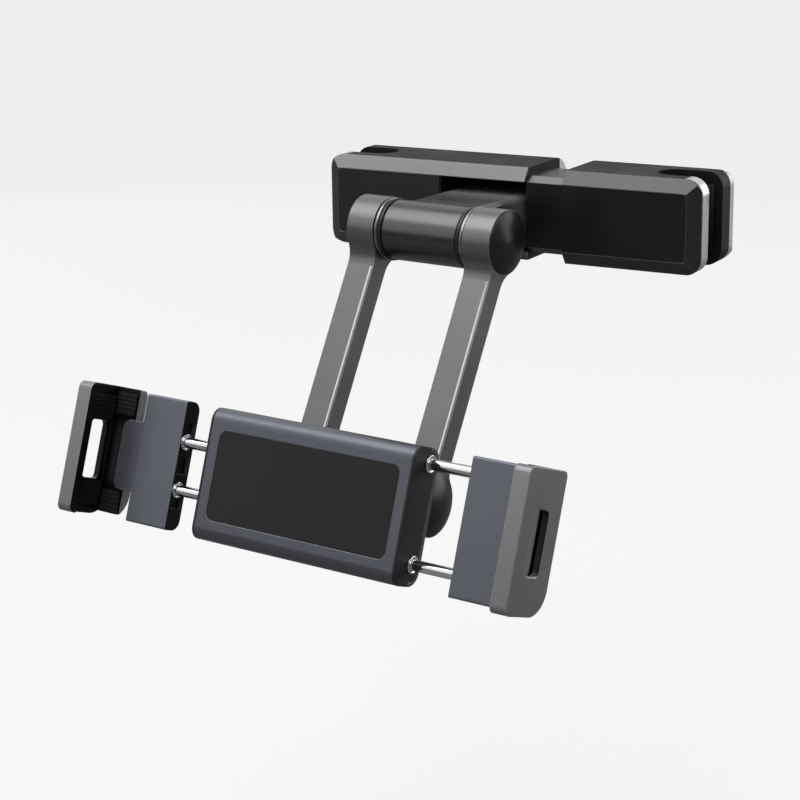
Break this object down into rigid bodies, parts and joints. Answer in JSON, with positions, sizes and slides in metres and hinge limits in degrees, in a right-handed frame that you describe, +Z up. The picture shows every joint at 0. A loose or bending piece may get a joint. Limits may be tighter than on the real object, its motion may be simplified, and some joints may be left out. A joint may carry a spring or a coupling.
{
  "type": "headrest tablet mount",
  "caption": "Sprung clamp between two headrest posts, swinging arm, double-bar link with tilt joints, and a turning tablet holder with self-centring jaws.",
  "frame": {"origin": "on the axis of the left headrest post, half-way up the clamp", "axes": "+X along the clamp to the right post, +Y from the holder towards the seat, +Z up along the posts"},
  "size_m": [0.2625, 0.2306, 0.1614],
  "materials": {
    "dark_shell": "satin moulded plastic",
    "grey_frame": "satin grey paint",
    "black_panel": "semi-gloss",
    "silver_trim": "bright anodised",
    "light_cover": "satin",
    "rubber": "matt",
    "steel": "machined",
    "spring_steel": "wire",
    "rail_alloy": "satin anodised",
    "graphite_alloy": "satin graphite anodised",
    "bar_alloy": "satin grey anodised",
    "chrome": "polished",
    "ring_steel": "finely ribbed",
    "white_plastic": "low-friction washer",
    "holder_alloy": "satin blue-grey anodised",
    "dark_core": "fine texture",
    "gear_plastic": "acetal"
  },
  "bodies": {
    "base": {"base_core": "dark_shell", "base_mouth_roof": "dark_shell", "base_mouth_floor": "dark_shell", "base_mouth_back": "dark_shell", "base_frame": "grey_frame", "base_panel": "black_panel", "base_end_trim": "silver_trim", "base_rear_cover": "light_cover", "base_slot_liner": "rubber", "base_screws": "steel", "rail": "rail_alloy", "rail_front_plate": "black_panel", "clamp_spring": "spring_steel", "swing_bolt": "steel", "swing_washer": "white_plastic"},
    "slider": {"slider_core": "dark_shell", "slider_frame": "grey_frame", "slider_panel": "black_panel", "slider_end_trim": "silver_trim", "slider_rear_cover": "light_cover", "slider_slot_liner": "rubber", "slider_screws": "steel"},
    "arm": {"swing_arm": "graphite_alloy"},
    "link": {"left_bar": "bar_alloy", "right_bar": "bar_alloy", "bar_trims": "chrome", "friction_rings_upper": "ring_steel", "friction_rings_lower": "ring_steel", "upper_axle": "steel", "lower_axle": "steel", "upper_left_cap": "graphite_alloy", "upper_right_cap": "graphite_alloy", "lower_left_cap": "graphite_alloy", "lower_right_cap": "graphite_alloy"},
    "tilt": {"tilt_block": "graphite_alloy", "spigot_washer": "steel", "spigot_screw": "steel"},
    "holder": {"holder_core": "dark_core", "holder_front_cover": "holder_alloy", "holder_panel": "black_panel", "holder_rear_cover": "holder_alloy", "holder_screws": "steel", "rod_bushes": "dark_core", "pinion_pin": "steel"},
    "pinion_gear": {"pinion": "gear_plastic"},
    "left_jaw": {"left_slide": "holder_alloy", "left_rods": "chrome"},
    "right_jaw": {"right_slide": "holder_alloy", "right_rods": "chrome"},
    "left_hook_body": {"left_hook": "holder_alloy", "left_hook_pads": "rubber"},
    "right_hook_body": {"right_hook": "holder_alloy", "right_hook_pads": "rubber"}
  },
  "joints": [
    {"name": "clamp_slide", "type": "slide", "parent": "base", "child": "slider", "axis": [1, 0, 0], "range_m": [-0.0195, 0], "stiffness_N_per_m": 400, "springref_m": 0.05, "deforming": ["clamp_spring"]},
    {"name": "arm_swing", "type": "hinge", "parent": "base", "child": "arm", "pos_m": [0.069, -0.006, 0], "axis": [0, 0, 1], "range_deg": [-4.8, 9.2]},
    {"name": "bracket_tilt", "type": "hinge", "parent": "arm", "child": "link", "pos_m": [0.06306, -0.06068, -0.0045], "axis": [0.9942, -0.108, 0], "range_deg": [-90, 30]},
    {"name": "holder_tilt", "type": "hinge", "parent": "link", "child": "tilt", "pos_m": [0.05637, -0.12227, -0.11536], "axis": [0.9942, -0.108, 0], "range_deg": [-18, 30]},
    {"name": "holder_spin", "type": "hinge", "parent": "tilt", "child": "holder", "pos_m": [0.05138, -0.1682, -0.10448], "axis": [0.1019, 0.9383, -0.3305], "range_deg": [-90, 90]},
    {"name": "jaw_left", "type": "slide", "parent": "holder", "child": "left_jaw", "axis": [-0.9942, 0.108, 0], "range_m": [-0.0225, 0.026]},
    {"name": "jaw_right", "type": "slide", "parent": "holder", "child": "right_jaw", "axis": [0.9942, -0.108, 0], "range_m": [-0.0225, 0.026]},
    {"name": "pinion_spin", "type": "hinge", "parent": "holder", "child": "pinion_gear", "pos_m": [0.05333, -0.15022, -0.09217], "axis": [0.1019, 0.9383, -0.3305], "range_deg": [-286.48, 331.04]},
    {"name": "hook_left", "type": "slide", "parent": "left_jaw", "child": "left_hook_body", "axis": [-0.9942, 0.108, 0], "range_m": [-0.0086, 0.0034]},
    {"name": "hook_right", "type": "slide", "parent": "right_jaw", "child": "right_hook_body", "axis": [0.9942, -0.108, 0], "range_m": [0, 0.012]}
  ],
  "couplings": [
    {"joint": "jaw_right", "follows": "jaw_left", "ratio": 1},
    {"joint": "pinion_spin", "follows": "jaw_left", "rad_per_m": 222.22}
  ]
}
